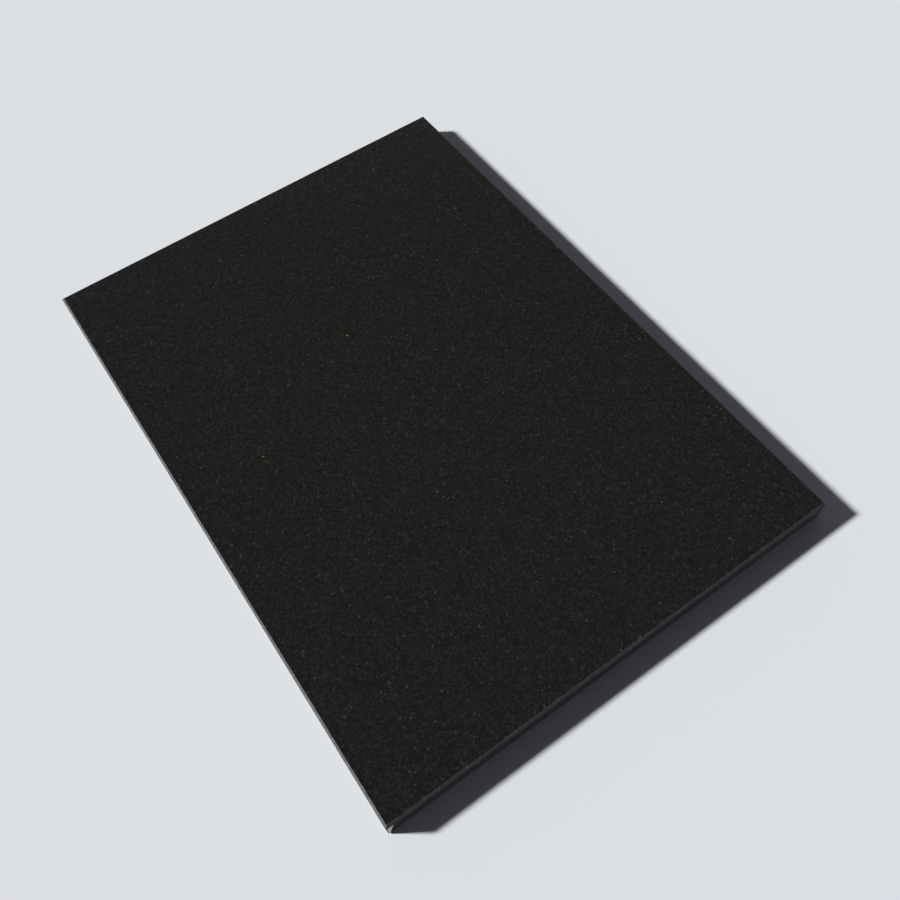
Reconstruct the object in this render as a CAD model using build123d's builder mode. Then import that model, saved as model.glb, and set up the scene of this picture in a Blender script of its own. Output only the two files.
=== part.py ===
from build123d import *
import os

# A granite slab for leatherwork: one flat plate of polished black stone that lies
# on the bench under leather while it is punched, skived, glued or burnished.
# Lengths are in millimetres. The origin is the middle of the underside, +X runs
# across the slab, +Y along it and +Z up.

# The plate, over all.
SLAB_LENGTH = 280.0
SLAB_WIDTH = 203.0
SLAB_THICKNESS = 11.0

# Narrow 45 degree facets, ground along every sharp edge so that the stone neither
# chips nor marks the leather. Each is measured along the faces that it meets.
TOP_ARRIS = 1.0
UNDERSIDE_ARRIS = 0.6
CORNER_ARRIS = 0.5

with BuildPart() as slab:
    # The plate, cut square.
    with BuildSketch(Plane.XY):
        Rectangle(SLAB_WIDTH, SLAB_LENGTH)
    extrude(amount=SLAB_THICKNESS)

    # The rim of the polished working face gets the widest facet, and the rim of the
    # face that lies on the bench is only broken.
    working_face = slab.faces().sort_by(Axis.Z)[-1]
    chamfer(working_face.edges(), length=TOP_ARRIS)
    underside = slab.faces().sort_by(Axis.Z)[0]
    chamfer(underside.edges(), length=UNDERSIDE_ARRIS)

    # The four upright corners are eased last, between the two rims.
    upright_corners = slab.edges().filter_by(Axis.Z)
    chamfer(upright_corners, length=CORNER_ARRIS)

slab.part.label = "slab"

os.makedirs("parts", exist_ok=True)
export_step(slab.part, "parts/slab.step")
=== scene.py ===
import math
import random

import bpy
from mathutils import Euler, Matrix, Quaternion, Vector, noise
from mathutils.geometry import delaunay_2d_cdt


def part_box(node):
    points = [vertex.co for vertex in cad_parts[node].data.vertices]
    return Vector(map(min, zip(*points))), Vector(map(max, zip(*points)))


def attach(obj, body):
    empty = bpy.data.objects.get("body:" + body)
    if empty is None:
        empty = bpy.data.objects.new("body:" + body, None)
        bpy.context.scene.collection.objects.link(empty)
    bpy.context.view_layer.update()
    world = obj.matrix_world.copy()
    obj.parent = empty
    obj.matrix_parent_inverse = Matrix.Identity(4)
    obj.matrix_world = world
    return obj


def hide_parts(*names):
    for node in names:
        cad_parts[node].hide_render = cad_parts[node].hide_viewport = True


# A polished black granite slab for leatherwork, lying on a pale floor in low light from
# its left. Everything is in metres, in the CAD frame: +Z up, +Y along the slab.

MM = 0.001

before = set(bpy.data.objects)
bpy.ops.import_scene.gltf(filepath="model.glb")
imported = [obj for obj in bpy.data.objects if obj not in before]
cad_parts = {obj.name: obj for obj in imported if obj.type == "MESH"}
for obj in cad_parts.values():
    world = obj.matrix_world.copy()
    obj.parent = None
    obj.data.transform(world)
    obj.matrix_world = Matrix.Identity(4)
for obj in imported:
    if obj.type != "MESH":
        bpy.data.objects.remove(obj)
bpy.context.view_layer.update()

_, slab_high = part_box("slab")
HALF_WIDTH = slab_high.x
HALF_LENGTH = slab_high.y
THICKNESS = slab_high.z

# Edge work. An arris is the narrow facet ground along a sharp edge. How far it bulges (crown)
# and how much its width varies (wander) are shares of its width.
TOP_ARRIS = 1.0 * MM
UNDERSIDE_ARRIS = 0.6 * MM
ARRIS_CROWN = 0.012
ARRIS_WANDER = 0.06
CORNER_RADIUS = 0.40 * MM
INNER_CORNER_RADIUS = 0.10 * MM

# Nicks: the tiny shells that have broken out of the arrises in use. Depth is a share of the radius.
NICK_COUNT = 14
NICK_RADIUS = (0.20 * MM, 0.50 * MM)
NICK_DEPTH = (0.25, 0.45)
NICK_RAGGED = 0.35
NICK_RAGGED_SIZE = 0.16 * MM
NICK_MARGIN = 0.5 * MM
NICK_STEP = 0.11 * MM
NICK_SEED = 21640

# Mesh density. The rim is the band of the two large faces next to the arris.
STATION_STEP = 2.0 * MM
CORNER_STEPS = 6
TOP_ARRIS_STEPS = 7
UNDERSIDE_ARRIS_STEPS = 4
RIM_WIDTH = 5.0 * MM
FILL_STEP = 9.0 * MM

# Mineral sizes in the stone.
CRYSTAL = 0.80 * MM
LATH = 0.52 * MM
LATH_STRETCH = 2.2
PALE_GRAIN = 0.76 * MM
SPECK = 0.72 * MM
FLECK_SPACING = 5.5 * MM
RAGGED_SIZE = 0.9 * MM
RAGGED_SHIFT = 0.3 * MM

# The saw disc's middle, seen from the slab, and the spacing of the arcs that it left.
SAW_CENTRE = Vector((380, 90, 0)) * MM
SAW_PITCH = 2.6 * MM
SAW_MARK_DEPTH = 0.03 * MM

# The order of the slab's material slots.
POLISHED, GROUND, SAWN = range(3)


# ---------------------------------------------------------------- the rim of the slab


def side_frame(side):
    """One of the four sides, anticlockwise: outward normal, direction along, half run, distance out."""
    across, along = Vector((1, 0)), Vector((0, 1))
    return (
        (-along, across, HALF_WIDTH, HALF_LENGTH),
        (across, along, HALF_LENGTH, HALF_WIDTH),
        (along, -across, HALF_WIDTH, HALF_LENGTH),
        (-across, -along, HALF_LENGTH, HALF_WIDTH),
    )[side]


def rim_stations(nicks):
    """Stops round the rim: (side, share of its half run, 0), and in a corner (side, 1, share of the turn)."""
    stations = []
    for side in range(4):
        straight = side_frame(side)[2] - CORNER_RADIUS
        count = round(2 * straight / STATION_STEP)
        shares = {-1 + 2 * i / count for i in range(count + 1)}
        for nick in nicks:
            if nick["side"] == side:
                steps = math.ceil((nick["radius"] + NICK_MARGIN) / NICK_STEP)
                shares |= {(nick["place"] + i * NICK_STEP) / straight for i in range(-steps, steps + 1)}
        stations += [(side, share, 0.0) for share in sorted(shares) if abs(share) <= 1]
        stations += [(side, 1.0, i / CORNER_STEPS) for i in range(1, CORNER_STEPS)]
    return stations


def rim_point(station, inward):
    """The point of the outline, moved inward by that much, at a station."""
    side, share, turn = station
    normal, along, half_run, out = side_frame(side)
    radius = max(CORNER_RADIUS - inward, INNER_CORNER_RADIUS)
    centre = normal * (out - inward - radius) + along * (share * (half_run - inward - radius))
    angle = turn * math.pi / 2
    return centre + (normal * math.cos(angle) + along * math.sin(angle)) * radius


def arris_scale(point):
    """How much wider or narrower than its mean the hand-ground arris is here."""
    slow = noise.noise(Vector((point.x, point.y, 0.0)) / (38 * MM))
    quick = noise.noise(Vector((point.x, point.y, 9 * MM)) / (7 * MM))
    return 1 + ARRIS_WANDER * (slow + 0.4 * quick)


def facet(steps):
    """A slightly crowned facet, as (inward, drop) shares of its width from one shoulder to the other."""
    points = []
    for i in range(steps + 1):
        share = i / steps
        crown = ARRIS_CROWN * math.sin(math.pi * share)
        points.append((1 - share - crown, share - crown))
    return points


def rim_section(scale):
    """The section through the rim, from the working face over the side to the underside.

    Each point is (inward, height, finish of the band that follows it).
    """
    top, under = TOP_ARRIS * scale, UNDERSIDE_ARRIS * scale
    points = [(RIM_WIDTH, THICKNESS, POLISHED)]
    points += [(top + gap * MM, THICKNESS, POLISHED) for gap in (1.6, 0.7, 0.4, 0.2, 0.03)]
    points += [(top * inward, THICKNESS - top * drop, GROUND) for inward, drop in facet(TOP_ARRIS_STEPS)[:-1]]
    side_top = THICKNESS - top
    for share in (0.0, 0.004, 0.03, 0.09, 0.35, 0.65, 0.91, 0.97, 0.996):
        points.append((0.0, side_top + (under - side_top) * share, POLISHED))
    for inward, drop in reversed(facet(UNDERSIDE_ARRIS_STEPS)[1:]):
        points.append((under * inward, under * drop, GROUND))
    points += [(under + gap * MM, 0.0, SAWN) for gap in (0.0, 0.03, 0.3, 0.8)]
    points.append((RIM_WIDTH, 0.0, SAWN))
    return points


# ---------------------------------------------------------------- nicks


def scatter_nicks():
    """Nicks on the shoulders of the arrises, mostly the upper ones."""
    draw = random.Random(NICK_SEED)
    nicks = []
    for _ in range(NICK_COUNT):
        side = draw.randrange(4)
        normal, along, half_run, out = side_frame(side)
        place = draw.uniform(-0.97, 0.97) * half_run
        on_top = draw.random() < 0.6
        arris = TOP_ARRIS if on_top else UNDERSIDE_ARRIS
        inward, drop = (arris, 0.0) if draw.random() < 0.4 else (0.0, arris)
        flat = normal * (out - inward) + along * place
        nicks.append(
            {
                "side": side,
                "place": place,
                "centre": Vector((flat.x, flat.y, THICKNESS - drop if on_top else drop)),
                "into": Vector((-normal.x, -normal.y, -1.0 if on_top else 1.0)).normalized(),
                "radius": draw.uniform(*NICK_RADIUS),
                "depth": draw.uniform(*NICK_DEPTH),
            }
        )
    return nicks


def nick_bite(point, nicks):
    """How a nick moves this point of the surface into the stone; a zero vector away from all nicks."""
    for nick in nicks:
        away = (point - nick["centre"]).length / nick["radius"]
        if away < 1.5:
            ragged = 1 + NICK_RAGGED * noise.noise(point / NICK_RAGGED_SIZE)
            return nick["into"] * max(0.0, 1 - (away * ragged) ** 2) * nick["radius"] * nick["depth"]
    return Vector((0, 0, 0))


# ---------------------------------------------------------------- the slab's mesh


def rim_mesh(nicks):
    """The rim all round: vertices by station and section, faces, and each face's finish."""
    stations = rim_stations(nicks)
    vertices, chipped = [], []
    for station in stations:
        for inward, height, _ in rim_section(arris_scale(rim_point(station, 0.0))):
            flat = rim_point(station, inward)
            point = Vector((flat.x, flat.y, height))
            bite = nick_bite(point, nicks)
            vertices.append(point + bite)
            chipped.append(bite.length > 0.01 * MM)
    bands = [finish for _, _, finish in rim_section(1.0)]
    rows, count = len(bands), len(vertices)
    faces, finishes = [], []
    for column, station in enumerate(stations):
        in_corner = station[1] == 1.0
        for row in range(rows - 1):
            here = column * rows + row
            beside = (here + rows) % count
            corners = (here, here + 1, beside + 1, beside)
            upright = 0.0 < vertices[here].z < THICKNESS
            rough = any(chipped[i] for i in corners) or (in_corner and upright)
            faces.append(corners)
            finishes.append(GROUND if rough else bands[row])
    inner_loops = [range(0, count, rows), range(rows - 1, count, rows)]
    return vertices, faces, finishes, inner_loops


def fill_flat(outline):
    """Extra points and triangles that fill a flat outline with a mesh of even size."""
    points = [point.to_2d() for point in outline]
    count = len(points)
    half_x = HALF_WIDTH - RIM_WIDTH - FILL_STEP / 3
    half_y = HALF_LENGTH - RIM_WIDTH - FILL_STEP / 3
    rows = int(half_y / FILL_STEP)
    for row in range(-rows, rows + 1):
        shift = (row % 2) * FILL_STEP / 2
        columns = int(half_x / FILL_STEP) + 1
        spots = [Vector((i * FILL_STEP + shift, row * FILL_STEP)) for i in range(-columns, columns + 1)]
        points += [spot for spot in spots if abs(spot.x) < half_x]
    border = [(i, (i + 1) % count) for i in range(count)]
    filled, _, triangles, _, _, _ = delaunay_2d_cdt(points, border, [], 1, 1e-7)
    return filled[count:], triangles


def build_slab():
    """The slab as one closed mesh."""
    vertices, faces, finishes, (top_loop, under_loop) = rim_mesh(scatter_nicks())
    for loop, height, finish in ((top_loop, THICKNESS, POLISHED), (under_loop, 0.0, SAWN)):
        extra, triangles = fill_flat([vertices[i] for i in loop])
        index = list(loop) + list(range(len(vertices), len(vertices) + len(extra)))
        vertices += [Vector((point.x, point.y, height)) for point in extra]
        for triangle in triangles:
            corners = [index[i] for i in triangle]
            faces.append(corners if finish == POLISHED else corners[::-1])
            finishes.append(finish)
    mesh = bpy.data.meshes.new("granite_slab")
    mesh.from_pydata(vertices, [], faces)
    mesh.polygons.foreach_set("material_index", finishes)
    mesh.shade_smooth()
    mesh.validate()
    mesh.update()
    piece = bpy.data.objects.new("granite_slab", mesh)
    bpy.context.scene.collection.objects.link(piece)
    return piece


# ---------------------------------------------------------------- shader nodes


def node(tree, kind, inputs=None, **settings):
    """A new shader node with its settings, and its inputs either set or linked."""
    made = tree.nodes.new("ShaderNode" + kind)
    for name, value in settings.items():
        setattr(made, name, value)
    for name, value in (inputs or {}).items():
        feed(tree, made.inputs[name], value)
    return made


def feed(tree, socket, value):
    """Link a socket to another one, or set it to a constant."""
    if isinstance(value, bpy.types.NodeSocket):
        tree.links.new(value, socket)
    else:
        socket.default_value = value


def object_place(tree):
    return node(tree, "TexCoord").outputs["Object"]


def times(tree, first, second):
    return node(tree, "Math", {0: first, 1: second}, operation="MULTIPLY").outputs[0]


def larger(tree, first, second):
    return node(tree, "Math", {0: first, 1: second}, operation="MAXIMUM").outputs[0]


def ramp(tree, value, low, high, start=0.0, end=1.0, smooth=True):
    """The value, remapped from low..high to start..end and held there outside."""
    kind = "SMOOTHSTEP" if smooth else "LINEAR"
    inputs = {"Value": value, "From Min": low, "From Max": high, "To Min": start, "To Max": end}
    return node(tree, "MapRange", inputs, interpolation_type=kind).outputs["Result"]


def blend(tree, share, first, second):
    """A mix of two colours, by share of the second."""
    made = node(tree, "Mix", data_type="RGBA")
    for number, value in ((0, share), (6, first), (7, second)):
        feed(tree, made.inputs[number], value)
    return made.outputs[2]


def clouds(tree, size, detail):
    """Soft mottling at that scale, about 0.5."""
    inputs = {"Vector": object_place(tree), "Scale": 1 / size, "Detail": detail}
    return node(tree, "TexNoise", inputs).outputs["Fac"]


# ---------------------------------------------------------------- the stone


def grey(level, warmth=0.0):
    """A near-neutral linear colour; warmth takes away some of its blue."""
    return (level, level, level * (1 - warmth), 1.0)


def stone_space(tree):
    """Places in the stone, shaken a little so that the outlines of grains come out ragged."""
    place = object_place(tree)
    shake = node(tree, "TexNoise", {"Vector": place, "Scale": 1 / RAGGED_SIZE, "Detail": 1.0})
    centred = node(tree, "VectorMath", {0: shake.outputs["Color"], 1: (0.5,) * 3}, operation="SUBTRACT")
    inputs = {0: centred.outputs["Vector"], 1: (RAGGED_SHIFT,) * 3, 2: place}
    return node(tree, "VectorMath", inputs, operation="MULTIPLY_ADD").outputs["Vector"]


def crystals(tree, place, size, stretch=1.0, turn=0.0, tilt=0.0):
    """Packed grains of that size: two random numbers for each grain, and the distance from its middle."""
    mapping = node(tree, "Mapping", {"Vector": place}, vector_type="TEXTURE")
    mapping.inputs["Rotation"].default_value = Euler((tilt, 0.0, turn))
    mapping.inputs["Scale"].default_value = (size * stretch, size, size)
    cells = node(tree, "TexVoronoi", {"Vector": mapping.outputs["Vector"], "Scale": 1.0})
    draws = node(tree, "SeparateColor", {"Color": cells.outputs["Color"]})
    return draws.outputs["Red"], draws.outputs["Green"], cells.outputs["Distance"]


def scattered(tree, place, colour, pale, rarity, size, stretch=1.0, turn=0.0, tilt=0.0):
    """The colour with the rarest grains of one mineral laid over it, from faint to the full pale colour."""
    chance, tone, _ = crystals(tree, place, size, stretch, turn, tilt)
    strength = node(tree, "Math", {0: tone, 1: 1.6}, operation="POWER").outputs[0]
    share = times(tree, ramp(tree, chance, rarity, rarity + 0.004), strength)
    return blend(tree, share, colour, pale)


def granite_colour(tree, dark, mid, lath, grain, speck, fleck):
    """Fine-grained black granite, from the colours of its minerals."""
    place = stone_space(tree)
    chance, _, _ = crystals(tree, place, CRYSTAL)
    colour = blend(tree, ramp(tree, chance, 0.0, 1.0, smooth=False), dark, mid)
    # Plagioclase laths lie in every direction; four stand for all.
    for turn, tilt in ((0.3, 0.3), (1.1, -0.4), (1.9, 0.2), (2.7, -0.2)):
        colour = scattered(tree, place, colour, lath, 0.88, LATH, LATH_STRETCH, turn, tilt)
    colour = scattered(tree, place, colour, grain, 0.82, PALE_GRAIN)
    colour = scattered(tree, place, colour, speck, 0.97, SPECK)
    # Rare flecks of brassy ore.
    chance, _, away = crystals(tree, place, FLECK_SPACING)
    spot = times(tree, ramp(tree, chance, 0.96, 0.97), ramp(tree, away, 0.085, 0.06))
    return blend(tree, spot, colour, fleck)


def fine_scratches(tree):
    """A few hair-thin scratches, a few millimetres long, as a mask."""
    width = 0.20 * MM
    place = object_place(tree)
    total = None
    for turn, stretch in ((0.5, 28.0), (1.35, 45.0), (2.4, 36.0)):
        chance, tone, away = crystals(tree, place, width, stretch, turn)
        mark = times(tree, ramp(tree, chance, 0.9990, 0.9994), ramp(tree, away, 0.55, 0.25))
        mark = times(tree, mark, ramp(tree, tone, 0.0, 1.0, 0.3, 1.0))
        total = mark if total is None else larger(tree, total, mark)
    return total


def stone_material(name):
    material = bpy.data.materials.new(name)
    material.use_nodes = True
    tree = material.node_tree
    surface = tree.nodes["Principled BSDF"]
    surface.inputs["IOR"].default_value = 1.56
    return material, tree, surface


def polished_granite():
    """The working face and the sides: mirror polished, with faint smears and a few fine scratches."""
    material, tree, surface = stone_material("polished_granite")
    colour = granite_colour(
        tree,
        dark=grey(0.0086, 0.07),
        mid=grey(0.0140, 0.08),
        lath=grey(0.022, 0.08),
        grain=grey(0.025, 0.08),
        speck=grey(0.050, 0.08),
        fleck=(0.22, 0.13, 0.05, 1.0),
    )
    scratches = fine_scratches(tree)
    scratched = blend(tree, times(tree, scratches, 0.55), colour, grey(0.06))
    smears = ramp(tree, clouds(tree, 45 * MM, 4.0), 0.45, 0.75, 0.045, 0.085)
    roughness = node(tree, "Math", {0: times(tree, scratches, 0.12), 1: smears}, operation="ADD").outputs[0]
    feed(tree, surface.inputs["Base Color"], scratched)
    feed(tree, surface.inputs["Roughness"], roughness)
    return material


def ground_granite():
    """Arrises, eased corners and nicks: stone that was never polished, so paler and matt."""
    material, tree, surface = stone_material("ground_granite")
    colour = granite_colour(
        tree,
        dark=grey(0.060, -0.09),
        mid=grey(0.088, -0.09),
        lath=grey(0.125, -0.08),
        grain=grey(0.135, -0.08),
        speck=grey(0.18, -0.06),
        fleck=(0.26, 0.17, 0.08, 1.0),
    )
    feed(tree, surface.inputs["Base Color"], colour)
    chance, _, _ = crystals(tree, stone_space(tree), 0.4 * MM)
    feed(tree, surface.inputs["Roughness"], ramp(tree, chance, 0.0, 1.0, 0.82, 0.94))
    return material


def saw_arcs(tree):
    """The shallow arcs that the rim of a big saw disc leaves, as a height from 0 to 1."""
    from_centre = node(tree, "VectorMath", {0: object_place(tree), 1: SAW_CENTRE}, operation="SUBTRACT")
    inputs = {
        "Vector": from_centre.outputs["Vector"],
        "Scale": 2 * math.pi / (20 * SAW_PITCH),
        "Distortion": 2.5,
        "Detail": 3.0,
        "Detail Scale": 0.6,
    }
    return node(tree, "TexWave", inputs, wave_type="RINGS", rings_direction="Z").outputs["Fac"]


def sawn_granite():
    """The underside, as it left the saw: dull grey, with faint arcs."""
    material, tree, surface = stone_material("sawn_granite")
    colour = granite_colour(
        tree,
        dark=grey(0.060, 0.02),
        mid=grey(0.110, 0.02),
        lath=grey(0.15, 0.03),
        grain=grey(0.16, 0.03),
        speck=grey(0.24, 0.03),
        fleck=(0.28, 0.18, 0.09, 1.0),
    )
    arcs = saw_arcs(tree)
    patches = ramp(tree, clouds(tree, 30 * MM, 2.0), 0.35, 0.65, 0.1, 0.4)
    worn = times(tree, ramp(tree, arcs, 0.6, 1.0), patches)
    feed(tree, surface.inputs["Base Color"], blend(tree, worn, colour, grey(0.22, 0.02)))
    chance, _, _ = crystals(tree, stone_space(tree), 0.5 * MM)
    feed(tree, surface.inputs["Roughness"], ramp(tree, chance, 0.0, 1.0, 0.55, 0.75))
    bump = node(tree, "Bump", {"Height": arcs, "Distance": SAW_MARK_DEPTH, "Strength": 0.6})
    feed(tree, surface.inputs["Normal"], bump.outputs["Normal"])
    return material


# ---------------------------------------------------------------- floor, light and camera

FLOOR_SIZE = 60.0
FLOOR_COLOUR = (0.787, 0.82, 0.86, 1.0)

KEY_DIRECTION = Vector((-0.697, 0.476, 0.537))
KEY_ANGLE = math.radians(6.0)
KEY_STRENGTH = 4.92
KEY_COLOUR = (1.0, 0.985, 0.96)

# The surround, as heights and levels: pale low down, dimmer overhead and behind the camera.
FAR_SIDE = (0.3, 0.95, 0.0)
FAR_SKY = ((0.0, 0.70), (0.12, 0.42), (0.35, 0.17), (0.60, 0.10), (0.72, 0.055), (1.0, 0.040))
NEAR_SKY = ((0.0, 0.62), (0.10, 0.34), (0.22, 0.10), (0.40, 0.060), (0.62, 0.040), (1.0, 0.036))
SKY_TINT = Vector((0.97, 0.97, 1.08))

CAMERA_AIM = Vector((-2.3, -34.2, 11.0)) * MM
CAMERA_DISTANCE = 363.7 * MM
CAMERA_AZIMUTH = math.radians(-30.1)
CAMERA_ELEVATION = math.radians(59.85)
CAMERA_ROLL = math.radians(-5.4)
CAMERA_LENS = 35.69


def build_floor():
    bpy.ops.mesh.primitive_plane_add(size=FLOOR_SIZE)
    floor = bpy.context.object
    floor.name = "floor"
    material = bpy.data.materials.new("pale_floor")
    material.use_nodes = True
    surface = material.node_tree.nodes["Principled BSDF"]
    surface.inputs["Base Color"].default_value = FLOOR_COLOUR
    surface.inputs["Roughness"].default_value = 0.9
    surface.inputs["Specular IOR Level"].default_value = 0.1
    floor.data.materials.append(material)


def build_key():
    """The soft key light, low on the slab's left."""
    key = bpy.data.lights.new("key", "SUN")
    key.energy = KEY_STRENGTH
    key.angle = KEY_ANGLE
    key.color = KEY_COLOUR
    lamp = bpy.data.objects.new("key", key)
    lamp.rotation_mode = "QUATERNION"
    lamp.rotation_quaternion = KEY_DIRECTION.to_track_quat("Z", "Y")
    bpy.context.scene.collection.objects.link(lamp)


def sky_ramp(tree, height, stops):
    """The surround's colour by height."""
    made = node(tree, "ValToRGB", {"Fac": height})
    elements = made.color_ramp.elements
    elements.remove(elements[1])
    for i, (position, level) in enumerate(stops):
        element = elements[0] if i == 0 else elements.new(position)
        element.position = position
        element.color = (*(SKY_TINT * level), 1.0)
    return made.outputs["Color"]


def build_surround():
    world = bpy.data.worlds.new("surround")
    bpy.context.scene.world = world
    world.use_nodes = True
    tree = world.node_tree
    direction = node(tree, "TexCoord").outputs["Generated"]
    height = node(tree, "SeparateXYZ", {"Vector": direction}).outputs["Z"]
    toward = node(tree, "VectorMath", {0: direction, 1: FAR_SIDE}, operation="DOT_PRODUCT").outputs["Value"]
    near = sky_ramp(tree, height, NEAR_SKY)
    far = sky_ramp(tree, height, FAR_SKY)
    sky = blend(tree, ramp(tree, toward, -0.3, 0.6), near, far)
    feed(tree, tree.nodes["Background"].inputs["Color"], sky)


def build_camera():
    """The camera, above the slab's near left corner and looking down."""
    level = math.cos(CAMERA_ELEVATION)
    across = math.sin(CAMERA_AZIMUTH) * level
    along = -math.cos(CAMERA_AZIMUTH) * level
    back = Vector((across, along, math.sin(CAMERA_ELEVATION)))
    camera = bpy.data.objects.new("camera", bpy.data.cameras.new("camera"))
    camera.data.lens = CAMERA_LENS
    camera.data.clip_start = 10 * MM
    camera.location = CAMERA_AIM + back * CAMERA_DISTANCE
    camera.rotation_mode = "QUATERNION"
    camera.rotation_quaternion = back.to_track_quat("Z", "Y") @ Quaternion((0, 0, 1), CAMERA_ROLL)
    bpy.context.scene.collection.objects.link(camera)
    bpy.context.scene.camera = camera


# ---------------------------------------------------------------- the scene

build_camera()
build_key()
build_surround()
build_floor()
bpy.context.scene.view_settings.view_transform = "Standard"

slab = build_slab()
for finish in (polished_granite(), ground_granite(), sawn_granite()):
    slab.data.materials.append(finish)
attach(slab, "root")
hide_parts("slab")
